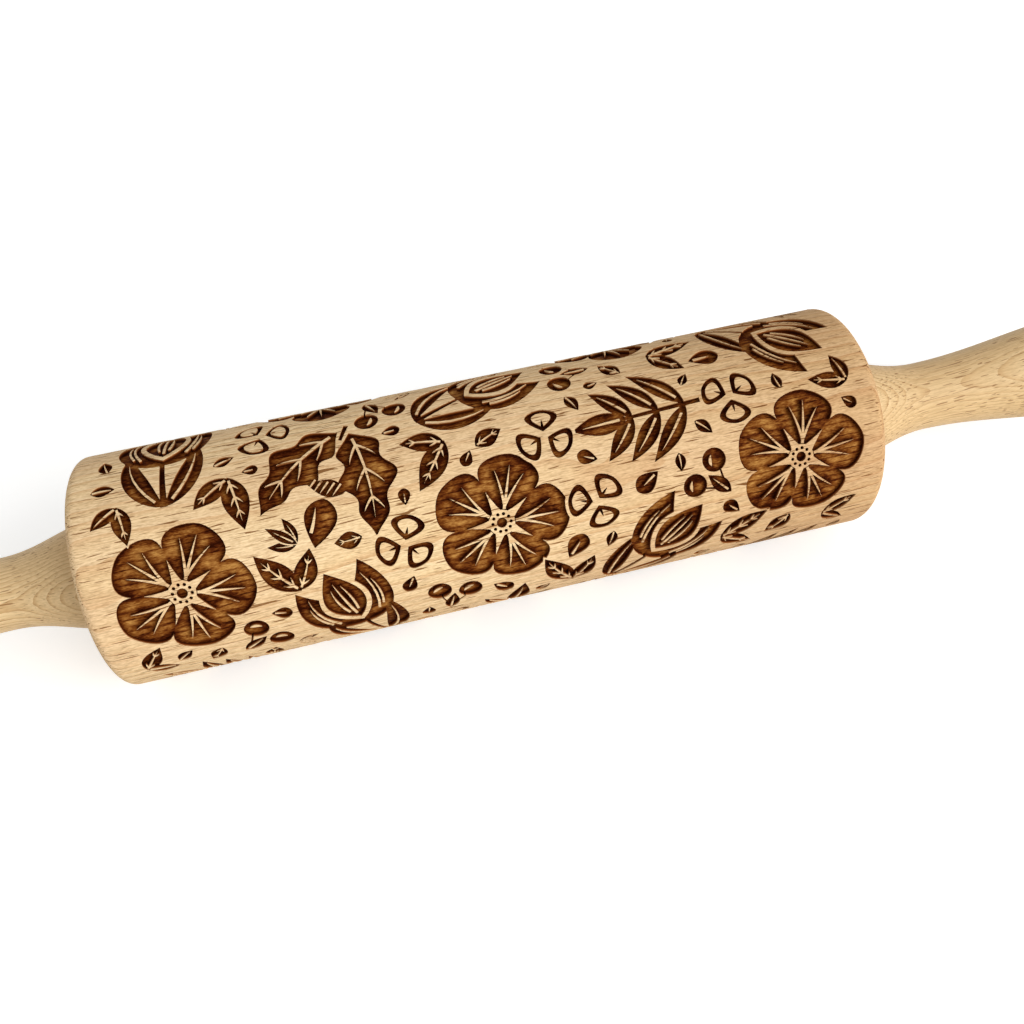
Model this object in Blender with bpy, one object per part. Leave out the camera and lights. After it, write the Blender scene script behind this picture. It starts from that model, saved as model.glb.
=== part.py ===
"""Embossed rolling pin: a carved beech barrel that turns on a steel axle between two turned handles.

Metres. +X runs along the axle towards the right-hand handle, +Z is up, and the origin is the
centre of the barrel on its axis. The barrel and its bushes turn about X; the rest stays still.
"""

import math

import bmesh
import bpy
from mathutils import Matrix, Vector
from mathutils.geometry import delaunay_2d_cdt

# Barrel
BARREL_LENGTH = 0.200
BARREL_DIAMETER = 0.060
BARREL_FACETS = 24
RIM_ROUNDING = 0.0028
RIM_STEPS = 3
AXLE_HOLE_DIAMETER = 0.011

# Carving: pockets burned into the barrel to one depth, in a half-drop repeat. The carved length is
# sanded back a hair afterwards, so the barrel stands on its two rims.
CARVING_DEPTH = 0.0012
SANDED_BACK = 0.00005
PLAIN_BAND = 0.0065
LARGE_MOTIF = 0.034
SMALL_MOTIF = 0.0145
END_MOTIF = 0.0105
MOTIF_SPACING = 0.003
END_MOTIF_INSET = 0.0115
OUTLINE_TOLERANCE = 0.00001
WELD_DISTANCE = 0.000005

# Bushes, pressed into seats at the ends of the barrel
BUSH_DIAMETER = 0.016
BUSH_LENGTH = 0.020
BUSH_CHAMFER = 0.0008
FLANGE_DIAMETER = 0.024
FLANGE_THICKNESS = 0.002

# Washers, between each bush's flange and its handle
WASHER_DIAMETER = 0.022
WASHER_THICKNESS = 0.0016

# Axle
AXLE_DIAMETER = 0.008
AXLE_IN_HANDLE = 0.045
AXLE_CHAMFER = 0.001

# Threaded inserts, screwed into the handles' bores
INSERT_DIAMETER = 0.012
INSERT_LENGTH = 0.020
INSERT_CHAMFER = 0.0006

# Handles, turned from one piece each
HANDLE_LENGTH = 0.098
HANDLE_BASE_DIAMETER = 0.028
HANDLE_BASE_CHAMFER = 0.0006
HANDLE_NECK_DIAMETER = 0.0188
HANDLE_NECK_AT = 0.023
HANDLE_GRIP_DIAMETER = 0.028
HANDLE_GRIP_AT = 0.0765
HANDLE_END_FLAT_DIAMETER = 0.008
FLARE_EASE_SHARE = 0.8

# Fits: the gap left between two pieces that touch or run on each other, and how far a cut runs past
SEAT_GAP = 0.0003
CUT_OVERRUN = 0.003

# Facets and curve steps of the round pieces
HANDLE_FACETS = 24
SMALL_FACETS = 16
FLARE_STEPS = 5
SWELL_STEPS = 6
DOME_STEPS = 5

# Colours as linear red, green and blue, with roughness and metallic
BEECH = ("beech", (0.58, 0.38, 0.19), 0.62, 0.0)
BEECH_HANDLE = ("beech_handle", (0.60, 0.41, 0.21), 0.55, 0.0)
STEEL = ("axle_steel", (0.56, 0.56, 0.55), 0.32, 1.0)
ZINC = ("washer_zinc", (0.60, 0.61, 0.60), 0.38, 1.0)
BRASS = ("insert_brass", (0.71, 0.53, 0.22), 0.34, 1.0)
NYLON = ("bush_nylon", (0.72, 0.70, 0.64), 0.48, 0.0)

# Motifs, drawn as blades: leaves, petals, stems and lobed leaves, each on a centre line that bends.
# A row holds: cut or keep, form, root along the barrel, root around it, heading, length, width, bend.
# Roots, lengths and widths are shares of the motif's size, counted from its centre; heading and bend
# are degrees, with 0 pointing round the barrel. A later row wins where two overlap.
def petal_ring(count, root_share, length_share, width_share):
    """The rows of a bloom seen from the front: petals in a ring round a centre left proud."""
    turns = [2 * math.pi * k / count for k in range(count)]
    return tuple(
        ("cut", "petal", root_share * math.sin(turn), root_share * math.cos(turn), math.degrees(turn))
        + (length_share, width_share, 0)
        for turn in turns
    )


TULIP_SHARES = (
    ("cut", "leaf", 0.00, -0.49, -52, 0.66, 0.17, 62),
    ("cut", "leaf", 0.00, -0.49, 52, 0.66, 0.17, -62),
    ("cut", "stem", 0.00, -0.49, 0, 0.42, 0.05, 0),
    ("cut", "leaf", 0.00, -0.12, -46, 0.66, 0.30, 46),
    ("cut", "leaf", 0.00, -0.12, 46, 0.66, 0.30, -46),
    ("keep", "leaf", 0.00, -0.05, 0, 0.58, 0.36, 0),
    ("cut", "leaf", 0.00, -0.01, 0, 0.51, 0.29, 0),
)
OAK_SHARES = (
    ("cut", "lobed", 0.04, -0.42, 40, 0.84, 0.44, -28),
    ("cut", "lobed", -0.04, -0.42, -40, 0.84, 0.44, 28),
    ("cut", "stem", 0.00, -0.50, 0, 0.16, 0.04, 0),
    ("cut", "leaf", -0.14, 0.05, 90, 0.28, 0.13, 0),
    ("cut", "petal", 0.00, 0.48, 180, 0.35, 0.23, 0),
)
BLOSSOM_SHARES = petal_ring(5, 0.07, 0.43, 0.44)
FERN_SHARES = (
    ("cut", "stem", 0.00, -0.50, 0, 0.62, 0.04, 0),
    ("cut", "leaf", 0.00, 0.08, 0, 0.42, 0.17, 0),
) + tuple(
    ("cut", "leaf", 0.00, -0.36 + 0.20 * k, side * 54, 0.50 - 0.06 * k, 0.145 - 0.005 * k, -side * 14)
    for k in range(3)
    for side in (-1, 1)
)
SPRAY_SHARES = (
    ("cut", "leaf", 0.04, -0.46, -24, 0.98, 0.44, 10),
    ("cut", "leaf", 0.02, -0.44, 52, 0.76, 0.38, -16),
)
CLOVER_SHARES = petal_ring(3, 0.07, 0.43, 0.56)
BERRY_SHARES = (
    ("cut", "disc", -0.27, 0.12, 0, 0.42, 0.42, 0),
    ("cut", "disc", 0.27, 0.12, 0, 0.42, 0.42, 0),
    ("cut", "leaf", 0.00, -0.50, 0, 0.55, 0.26, 0),
)

# Which large motif stands where: one word for each ring along the barrel, one letter for each place
# around it. No two neighbours match, and the rings repeat where the barrel has room for more.
LARGE_MOTIFS = {"T": TULIP_SHARES, "O": OAK_SHARES, "B": BLOSSOM_SHARES, "F": FERN_SHARES}
RINGS = ("TOBFB", "BTOTO", "TFBFB", "BTOTF", "TOBFB")
SMALL_MOTIFS = (SPRAY_SHARES, BERRY_SHARES, CLOVER_SHARES)
TURN_BETWEEN_MOTIFS = 137.5
BLADE_STEPS = {"leaf": 3, "petal": 4, "lobed": 9, "stem": 1}
DISC_STEPS = 8
LOBES = 3

# How a blade's width runs along it: the power that moves its fullest place towards the root or the
# tip, the power that fills out a petal, a lobe's depth, and how much a stem narrows to its end
LEAF_EASE_SHARE = 0.85
PETAL_EASE_SHARE = 1.5
PETAL_FULLNESS_SHARE = 0.6
PETAL_STEP_EASE_SHARE = 1.6
LOBED_EASE_SHARE = 0.8
LOBE_DEPTH_SHARE = 0.38
STEM_TAPER_SHARE = 0.3

barrel_radius = BARREL_DIAMETER / 2
corner_radius = barrel_radius / math.cos(math.pi / BARREL_FACETS)
circumference = math.pi * BARREL_DIAMETER
half_barrel = BARREL_LENGTH / 2
flat_half = half_barrel - RIM_ROUNDING
handle_base_x = half_barrel + WASHER_THICKNESS + 2 * SEAT_GAP


def half_width_share(form, along_share):
    """How wide a blade is at a share of its length, as a share of its full half width."""
    if form == "leaf":
        return math.sin(math.pi * along_share**LEAF_EASE_SHARE)
    if form == "petal":
        full = max(0.0, math.sin(math.pi * along_share**PETAL_EASE_SHARE))
        return full**PETAL_FULLNESS_SHARE
    if form == "lobed":
        notch = (1 + math.cos(2 * math.pi * LOBES * along_share)) / 2
        return math.sin(math.pi * along_share**LOBED_EASE_SHARE) * (1 - LOBE_DEPTH_SHARE * notch)
    return 1 - STEM_TAPER_SHARE * along_share


def blade_outline(form, length, width, heading, bend):
    """Closed outline of one blade from its root at the origin, as plane points."""
    if form == "disc":
        turns = [2 * math.pi * k / DISC_STEPS for k in range(DISC_STEPS)]
        return [Vector((math.cos(turn), math.sin(turn))) * width / 2 for turn in turns]
    steps = BLADE_STEPS[form]
    centre = Vector((0, 0))
    right, left = [], []
    shares = [k / steps for k in range(steps + 1)]
    if form == "petal":
        # closer together towards the tip, which is round
        shares = [1 - (1 - share) ** PETAL_STEP_EASE_SHARE for share in shares]
    for share, after in zip(shares, shares[1:] + [1]):
        turn = heading + bend * share
        across = Vector((math.cos(turn), -math.sin(turn)))
        half = width / 2 * half_width_share(form, share)
        right.append(centre + across * half)
        if half > OUTLINE_TOLERANCE:
            left.append(centre - across * half)
        middle = heading + bend * (share + after) / 2
        centre = centre + Vector((math.sin(middle), math.cos(middle))) * length * (after - share)
    return right + left[::-1]


def motif_layers(shares, size, at, turn):
    """One motif's blades, turned and laid down with its centre at a point of the unrolled skin."""
    layers = []
    turned = Matrix.Rotation(turn, 2)
    for action, form, along, around, heading, length, width, bend in shares:
        outline = blade_outline(form, length * size, width * size, math.radians(heading), math.radians(bend))
        root = Vector((along, around)) * size
        layers.append((action, [turned @ (root + point) + at for point in outline]))
    return layers


def carving_layers():
    """Every blade on the unrolled skin, with X along the barrel and Y round it."""
    pitch_wanted = LARGE_MOTIF + MOTIF_SPACING
    first = PLAIN_BAND + LARGE_MOTIF / 2 - half_barrel
    gaps = max(1, int(-2 * first / pitch_wanted))
    ring_pitch = -2 * first / gaps
    places = max(2, int(circumference / pitch_wanted))
    step = circumference / places
    reach = (ring_pitch**2 - (step / 2) ** 2) / (2 * ring_pitch)
    layers = []
    for ring in range(gaps + 1):
        ring_x = first + ring * ring_pitch
        letters = RINGS[ring % len(RINGS)]
        for place in range(places):
            around = (place + ring % 2 / 2) * step
            turn = math.radians(TURN_BETWEEN_MOTIFS) * (ring * places + place)
            large = LARGE_MOTIFS[letters[place % len(letters)]]
            layers += motif_layers(large, LARGE_MOTIF, Vector((ring_x, around)), turn)
            for side in (-1, 1):
                small = SMALL_MOTIFS[(ring + 2 * place + side) % len(SMALL_MOTIFS)]
                outer = ring == (0 if side < 0 else gaps)
                at = Vector((ring_x + side * (END_MOTIF_INSET if outer else reach), around + step / 2))
                if outer:
                    layers += motif_layers(SPRAY_SHARES, END_MOTIF, at, side * turn)
                else:
                    layers += motif_layers(small, SMALL_MOTIF, at, -turn * side)
    return layers


def wrapped(point, facet_angle):
    """A point of the unrolled skin on the faceted barrel: round by whole facets, then along a chord."""
    facets_round = point.y / (barrel_radius * facet_angle)
    facet = math.floor(facets_round)
    # half a facet of turn, so that one facet lies flat underneath
    start = (facet + 0.5) * facet_angle
    edges = [Vector((0, math.sin(a), math.cos(a))) * corner_radius for a in (start, start + facet_angle)]
    return Vector((point.x, 0, 0)) + edges[0].lerp(edges[1], facets_round - facet)


def carved_skin():
    """The barrel's outer surface between its rounded rims, with every pocket cut to its depth."""
    facet_angle = 2 * math.pi / BARREL_FACETS
    points, lines, outlines, cut = [], [], [], []
    for k in range(BARREL_FACETS + 1):
        height = circumference * k / BARREL_FACETS
        lines.append((len(points), len(points) + 1))
        points += [Vector((-flat_half, height)), Vector((flat_half, height))]
    last = len(points) - 2
    lines += [(0, last), (1, last + 1)]
    for action, outline in carving_layers():
        for lap in (-circumference, 0, circumference):
            moved = [point + Vector((0, lap)) for point in outline]
            if max(p.y for p in moved) > 0 and min(p.y for p in moved) < circumference:
                outlines.append(list(range(len(points), len(points) + len(moved))))
                cut.append(action == "cut")
                points += moved
    corners, _, faces, _, _, owners = delaunay_2d_cdt(points, lines, outlines, 0, OUTLINE_TOLERANCE, True)

    bm = bmesh.new()
    skin = [bm.verts.new(wrapped(corner, facet_angle)) for corner in corners]
    pockets = []
    for face, owner in zip(faces, owners):
        middle = sum((corners[k] for k in face), Vector((0, 0))) / len(face)
        if 0 < middle.y < circumference:
            made = bm.faces.new([skin[k] for k in face])
            if owner and cut[max(owner)]:
                pockets.append(made)
    bmesh.ops.delete(bm, geom=[v for v in bm.verts if not v.link_faces], context="VERTS")
    bmesh.ops.remove_doubles(bm, verts=bm.verts, dist=WELD_DISTANCE)
    pockets = [face for face in pockets if face.is_valid]
    bmesh.ops.recalc_face_normals(bm, faces=bm.faces)
    sanded = (barrel_radius - SANDED_BACK) / barrel_radius
    between_rims = [v for v in bm.verts if abs(v.co.x) < flat_half - WELD_DISTANCE]
    bmesh.ops.scale(bm, vec=(1, sanded, sanded), verts=between_rims)
    floors = bmesh.ops.extrude_face_region(bm, geom=pockets)["geom"]
    bmesh.ops.delete(bm, geom=pockets, context="FACES")
    inward = (barrel_radius - CARVING_DEPTH) / barrel_radius
    bmesh.ops.scale(
        bm, vec=(1, inward, inward), verts=[v for v in floors if isinstance(v, bmesh.types.BMVert)]
    )
    return bm


def close_ends(bm):
    """Rounds both rims of the skin inwards and closes the ends with flat faces."""
    for side in (-1, 1):
        rim = [edge for edge in bm.edges if edge.is_boundary and edge.verts[0].co.x * side > 0]
        for k in range(1, RIM_STEPS + 1):
            turn = math.pi / 2 * k / RIM_STEPS
            ring = bmesh.ops.extrude_edge_only(bm, edges=rim)["geom"]
            rim = [g for g in ring if isinstance(g, bmesh.types.BMEdge)]
            radius = corner_radius - RIM_ROUNDING * (1 - math.cos(turn))
            for corner in {v for edge in rim for v in edge.verts}:
                corner.co.x = side * (flat_half + RIM_ROUNDING * math.sin(turn))
                corner.co.yz = corner.co.yz.normalized() * radius
        bmesh.ops.contextual_create(bm, geom=rim)
    bmesh.ops.recalc_face_normals(bm, faces=bm.faces)


def turned_mesh(name, profile, facets):
    """Spins a profile of (along, radius) points about X into a closed solid."""
    bm = bmesh.new()
    ring = [bm.verts.new((along, 0, radius)) for along, radius in profile]
    edges = [bm.edges.new(pair) for pair in zip(ring, ring[1:])]
    if profile[0][1] > 0:
        edges.append(bm.edges.new((ring[-1], ring[0])))
    bmesh.ops.spin(
        bm, geom=ring + edges, axis=(1, 0, 0), cent=(0, 0, 0), angle=2 * math.pi, steps=facets, use_merge=True
    )
    bmesh.ops.remove_doubles(bm, verts=bm.verts, dist=WELD_DISTANCE)
    bmesh.ops.recalc_face_normals(bm, faces=bm.faces)
    mesh = bpy.data.meshes.new(name)
    bm.to_mesh(mesh)
    bm.free()
    mesh.shade_smooth()
    mesh.set_sharp_from_angle(angle=math.radians(30))
    return mesh


def place(name, mesh, parent, at=0.0, reversed_end=False):
    """Puts a piece on the axis, with its own +X outwards; the left-hand one is turned end for end."""
    piece = bpy.data.objects.new(name, mesh)
    bpy.context.collection.objects.link(piece)
    piece.location.x = -at if reversed_end else at
    piece.rotation_euler.z = math.pi if reversed_end else 0
    piece.parent = parent
    return piece


def material(finish):
    """A plain finish with the piece's colour, roughness and metallic value."""
    name, colour, roughness, metallic = finish
    made = bpy.data.materials.new(name)
    made.use_nodes = True
    shader = made.node_tree.nodes["Principled BSDF"]
    shader.inputs["Base Color"].default_value = (*colour, 1)
    shader.inputs["Roughness"].default_value = roughness
    shader.inputs["Metallic"].default_value = metallic
    made.diffuse_color = (*colour, 1)
    return made


def bush_seat_cutter():
    """The tool shape that bores the barrel through and steps it out at both ends for the bushes."""
    hole = AXLE_HOLE_DIAMETER / 2
    seat = BUSH_DIAMETER / 2 + SEAT_GAP
    recess = FLANGE_DIAMETER / 2 + SEAT_GAP
    seat_end = half_barrel - BUSH_LENGTH - SEAT_GAP
    recess_end = half_barrel - FLANGE_THICKNESS - SEAT_GAP
    past = half_barrel + CUT_OVERRUN
    right = [(past, 0), (past, recess), (recess_end, recess), (recess_end, seat), (seat_end, seat), (seat_end, hole)]
    left = [(-along, radius) for along, radius in reversed(right)]
    return turned_mesh("bush_seat_cutter", right + left, SMALL_FACETS)


def make_barrel(parent):
    """The carved barrel, bored for the axle and for a bush at each end."""
    bm = carved_skin()
    close_ends(bm)
    mesh = bpy.data.meshes.new("barrel")
    bm.to_mesh(mesh)
    bm.free()
    mesh.shade_smooth()
    mesh.set_sharp_from_angle(angle=math.radians(30))
    barrel = place("barrel", mesh, parent)
    cutter = place("bush_seat_cutter", bush_seat_cutter(), parent)
    cutter.hide_render = True
    cutter.display_type = "WIRE"
    bore = barrel.modifiers.new("bore", "BOOLEAN")
    bore.operation = "DIFFERENCE"
    bore.solver = "EXACT"
    bore.object = cutter
    return barrel


def bush_mesh():
    """A flanged plain bearing: its flange sits flush in the end of the barrel."""
    bore = AXLE_DIAMETER / 2 + SEAT_GAP
    body = BUSH_DIAMETER / 2
    profile = (
        (0, bore),
        (0, FLANGE_DIAMETER / 2),
        (-FLANGE_THICKNESS, FLANGE_DIAMETER / 2),
        (-FLANGE_THICKNESS, body),
        (BUSH_CHAMFER - BUSH_LENGTH, body),
        (-BUSH_LENGTH, body - BUSH_CHAMFER),
        (-BUSH_LENGTH, bore),
    )
    return turned_mesh("bush", profile, SMALL_FACETS)


def washer_mesh():
    """A flat washer that keeps the handle's end grain off the bush."""
    bore = AXLE_DIAMETER / 2 + SEAT_GAP
    edge = WASHER_DIAMETER / 2
    profile = ((0, bore), (0, edge), (WASHER_THICKNESS, edge), (WASHER_THICKNESS, bore))
    return turned_mesh("washer", profile[::-1], SMALL_FACETS)


def axle_mesh():
    """A plain rod with its ends chamfered, from inside one handle to inside the other."""
    half = handle_base_x + AXLE_IN_HANDLE
    radius = AXLE_DIAMETER / 2
    right = [(half, 0), (half, radius - AXLE_CHAMFER), (half - AXLE_CHAMFER, radius)]
    left = [(-along, radius) for along, radius in reversed(right)]
    return turned_mesh("axle", right + left, SMALL_FACETS)


def insert_mesh():
    """A threaded sleeve, flush with the handle's base, that the end of the axle screws into."""
    bore = AXLE_DIAMETER / 2 + SEAT_GAP
    edge = INSERT_DIAMETER / 2
    profile = (
        (0, bore),
        (INSERT_LENGTH, bore),
        (INSERT_LENGTH, edge - INSERT_CHAMFER),
        (INSERT_LENGTH - INSERT_CHAMFER, edge),
        (0, edge),
    )
    return turned_mesh("insert", profile, SMALL_FACETS)


def handle_profile():
    """Base, flare, neck, swelling grip and domed end, then the blind bore back up to the base."""
    base = HANDLE_BASE_DIAMETER / 2
    neck = HANDLE_NECK_DIAMETER / 2
    grip = HANDLE_GRIP_DIAMETER / 2
    flat = HANDLE_END_FLAT_DIAMETER / 2
    seat = INSERT_DIAMETER / 2 + SEAT_GAP
    hole = AXLE_DIAMETER / 2 + SEAT_GAP
    seat_end = INSERT_LENGTH + SEAT_GAP
    hole_end = AXLE_IN_HANDLE + SEAT_GAP
    profile = [(hole_end, 0), (hole_end, hole), (seat_end, hole), (seat_end, seat), (0, seat)]
    profile += [(0, base - HANDLE_BASE_CHAMFER), (HANDLE_BASE_CHAMFER, base)]
    for k in range(1, FLARE_STEPS + 1):
        share = k / FLARE_STEPS
        ease = (1 + math.cos(math.pi * share**FLARE_EASE_SHARE)) / 2
        along = HANDLE_BASE_CHAMFER + (HANDLE_NECK_AT - HANDLE_BASE_CHAMFER) * share
        profile.append((along, neck + (base - neck) * ease))
    for k in range(1, SWELL_STEPS + 1):
        share = k / SWELL_STEPS
        ease = (1 - math.cos(math.pi * share)) / 2
        profile.append((HANDLE_NECK_AT + (HANDLE_GRIP_AT - HANDLE_NECK_AT) * share, neck + (grip - neck) * ease))
    last_turn = math.acos(flat / grip)
    for k in range(1, DOME_STEPS + 1):
        turn = last_turn * k / DOME_STEPS
        rise = math.sin(turn) / math.sin(last_turn)
        profile.append((HANDLE_GRIP_AT + (HANDLE_LENGTH - HANDLE_GRIP_AT) * rise, grip * math.cos(turn)))
    profile.append((HANDLE_LENGTH, 0))
    return profile


def make_pin():
    """Puts the pin together on its axle, with one group that turns and one that stays still."""
    for old in list(bpy.data.objects):
        bpy.data.objects.remove(old)
    held = bpy.data.objects.new("held_group", None)
    turning = bpy.data.objects.new("turning_group", None)
    bpy.context.collection.objects.link(held)
    bpy.context.collection.objects.link(turning)

    make_barrel(turning).data.materials.append(material(BEECH))
    place("axle", axle_mesh(), held).data.materials.append(material(STEEL))
    ends = (
        ("bush", bush_mesh(), NYLON, turning, half_barrel),
        ("washer", washer_mesh(), ZINC, held, half_barrel + SEAT_GAP),
        ("insert", insert_mesh(), BRASS, held, handle_base_x),
        ("handle", turned_mesh("handle", handle_profile(), HANDLE_FACETS), BEECH_HANDLE, held, handle_base_x),
    )
    for name, mesh, finish, parent, at in ends:
        mesh.materials.append(material(finish))
        place(name + "_right", mesh, parent, at)
        place(name + "_left", mesh, parent, at, reversed_end=True)


make_pin()
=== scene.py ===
import math

import bmesh
import bpy
from mathutils import Matrix, Vector
from mathutils.kdtree import KDTree
from mathutils.bvhtree import BVHTree
from mathutils.geometry import delaunay_2d_cdt


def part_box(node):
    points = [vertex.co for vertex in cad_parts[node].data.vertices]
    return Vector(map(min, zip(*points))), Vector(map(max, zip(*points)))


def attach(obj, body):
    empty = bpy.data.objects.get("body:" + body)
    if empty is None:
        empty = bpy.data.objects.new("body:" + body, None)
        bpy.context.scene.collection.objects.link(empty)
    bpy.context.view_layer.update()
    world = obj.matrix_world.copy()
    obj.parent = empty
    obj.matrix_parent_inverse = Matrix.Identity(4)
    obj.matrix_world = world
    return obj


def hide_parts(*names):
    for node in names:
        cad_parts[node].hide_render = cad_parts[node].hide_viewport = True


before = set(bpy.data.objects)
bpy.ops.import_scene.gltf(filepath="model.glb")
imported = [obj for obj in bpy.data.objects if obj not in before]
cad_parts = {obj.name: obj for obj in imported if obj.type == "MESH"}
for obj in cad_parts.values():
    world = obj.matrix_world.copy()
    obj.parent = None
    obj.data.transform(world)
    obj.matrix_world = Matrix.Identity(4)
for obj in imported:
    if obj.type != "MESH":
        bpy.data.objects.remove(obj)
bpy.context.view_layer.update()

# The barrel: one piece of beech, turned round and sanded, with its ends rounded over on the lathe.
# A laser burns the pattern into it as flat-bottomed pockets, all to one depth, in a half-drop repeat.
# Leaves and petals are whole pockets, and their veins are thin walls of wood left standing.
barrel_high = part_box("barrel")[1]
BARREL_RADIUS = barrel_high.z
HALF_BARREL = barrel_high.x
# sizes are in metres, here and in every other section
RIM_ROUNDING = 0.0028
RIM_STEPS = 7
SKIN_STRIPS = 108
POCKET_DEPTH = 0.0012
PLAIN_BAND = 0.0065
LARGE_MOTIF = 0.034
SMALL_MOTIF = 0.0145
END_MOTIF = 0.0105
MOTIF_SPACING = 0.003
END_MOTIF_INSET = 0.0115
FINEST_LINE = 0.00001
SNAP_DISTANCE = 0.000001
WELD_DISTANCE = 0.000002
FLOOR_POINT_GAP = 0.0012
FIRST_FLOOR_POINT = 0.0004
FLAT_HALF = HALF_BARREL - RIM_ROUNDING
ROUND_THE_BARREL = 2 * math.pi * BARREL_RADIUS
# the pattern starts half a facet round on the frame's barrel, which is a prism
FRAME_FACETS = 24
PATTERN_START = math.pi / FRAME_FACETS

# Steps along each kind of blade, and what shapes its edge. An ease is the power that the share along
# the blade is raised to: under 1 it moves the widest part towards the root, over 1 towards the tip.
BLADE_STEPS = {"leaf": 14, "petal": 14, "lobed": 36, "stem": 6, "vein": 5}
DISC_STEPS = 22
LEAF_EASE = 0.85
PETAL_EASE = 1.5
PETAL_FULLNESS = 0.6
PETAL_STEP_EASE = 1.6
OAK_LOBES = 3
LOBED_EASE = 0.8
LOBE_DEPTH = 0.38
STEM_TAPER = 0.3
STRAIGHT_BEND = 0.001


def half_width_share(form, share):
    """How wide a blade is at a share of its length, as a share of its full half width."""
    if form == "leaf":
        return math.sin(math.pi * share**LEAF_EASE)
    if form == "petal":
        return max(0.0, math.sin(math.pi * share**PETAL_EASE)) ** PETAL_FULLNESS
    if form == "lobed":
        notch = (1 + math.cos(2 * math.pi * OAK_LOBES * share)) / 2
        return math.sin(math.pi * share**LOBED_EASE) * (1 - LOBE_DEPTH * notch)
    if form == "vein":
        return 1 - share**2
    return 1 - STEM_TAPER * share


def spine_point(length, heading, bend, share):
    """A point on a blade's centre line, an arc that starts at heading and bends evenly."""
    if abs(bend) < STRAIGHT_BEND:
        return Vector((math.sin(heading), math.cos(heading))) * length * share
    turn = heading + bend * share
    return Vector((math.cos(heading) - math.cos(turn), math.sin(turn) - math.sin(heading))) * length / bend


def blade_outline(form, length, width, heading, bend):
    """Closed outline of one blade with its root at zero; 0 degrees points round the barrel."""
    if form == "disc":
        turns = [2 * math.pi * k / DISC_STEPS for k in range(DISC_STEPS)]
        return [Vector((math.cos(turn), math.sin(turn))) * width / 2 for turn in turns]
    right, left = [], []
    steps = BLADE_STEPS[form]
    for k in range(steps + 1):
        share = 1 - (1 - k / steps) ** PETAL_STEP_EASE if form == "petal" else k / steps
        turn = heading + bend * share
        across = Vector((math.cos(turn), -math.sin(turn)))
        half = width / 2 * half_width_share(form, share)
        centre = spine_point(length, heading, bend, share)
        right.append(centre + across * half)
        if half > FINEST_LINE:
            left.append(centre - across * half)
    return right + left[::-1]


def floor_points(form, length, width, heading, bend):
    """Points spread over a blade, the outer ones close to its edge, to shade its floor by."""
    found = []
    steps = max(2, round(length / FLOOR_POINT_GAP))
    for k in range(1, steps):
        share = k / steps
        if form == "disc":
            reach = math.sqrt(max(0.0, 1 - (2 * share - 1) ** 2)) * width / 2
            centre = Vector(((2 * share - 1) * width / 2, 0))
            across = Vector((0, 1))
        else:
            reach = width / 2 * half_width_share(form, share)
            turn = heading + bend * share
            centre = spine_point(length, heading, bend, share)
            across = Vector((math.cos(turn), -math.sin(turn)))
        inner = reach - FIRST_FLOOR_POINT
        if inner > 0:
            rows = max(1, math.ceil(2 * inner / FLOOR_POINT_GAP))
            found += [centre + across * inner * (2 * row / rows - 1) for row in range(rows + 1)]
    return found


# Side veins start a little way along the midrib and end before its tip, and reach less far where the
# blade is narrow. They leave the midrib at a slant and bend towards the tip. Angles are in degrees.
FIRST_SIDE_VEIN = 0.08
ROOM_AT_BOTH_ENDS = 0.26
SIDE_VEIN_REACH = 0.40
LEAST_REACH = 0.35
REACH_LOOKS_AHEAD = 0.14
SIDE_VEIN_SLANT = 46
SIDE_VEIN_BEND = 18
SIDE_VEIN_LINE = 0.8


# A motif is a list of blades: cut or keep, form, root (along, around), heading, length, width, bend.
# Roots, lengths and widths are shares of its size; headings and bends are degrees. Later rows win.
def veined(form, along, around, heading, length, width, bend, line, pairs, start=0.08, end=0.84):
    """A leaf or petal with its midrib and pairs of side veins left standing in the pocket. The midrib is
    line wide, and runs from start to end as shares of the blade's length."""
    root = Vector((along, around))
    turn, curve = math.radians(heading), math.radians(bend)
    foot = root + spine_point(length, turn, curve, start)
    span = end - start
    rows = [("cut", form, along, around, heading, length, width, bend)]
    rows.append(("keep", "vein", *foot, heading + bend * start, length * span, line, bend * span))
    for k in range(pairs):
        share = start + FIRST_SIDE_VEIN + (span - ROOM_AT_BOTH_ENDS) * k / max(1, pairs - 1)
        foot = root + spine_point(length, turn, curve, share)
        width_there = half_width_share("leaf", min(share + REACH_LOOKS_AHEAD, 1))
        reach = SIDE_VEIN_REACH * width * (LEAST_REACH + (1 - LEAST_REACH) * width_there)
        for side in (-1, 1):
            slant = heading + bend * share + side * SIDE_VEIN_SLANT
            rows.append(("keep", "vein", *foot, slant, reach, line * SIDE_VEIN_LINE, -side * SIDE_VEIN_BEND))
    return rows


def ring_of(count, root, rows):
    """Rows repeated round a centre, each with its root at a distance from the centre."""
    made = []
    for k in range(count):
        turn = 2 * math.pi * k / count
        for action, form, aside, out, heading, length, width, bend in rows:
            along = (root + out) * math.sin(turn) + aside * math.cos(turn)
            around = (root + out) * math.cos(turn) - aside * math.sin(turn)
            made.append((action, form, along, around, math.degrees(turn) + heading, length, width, bend))
    return made


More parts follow.
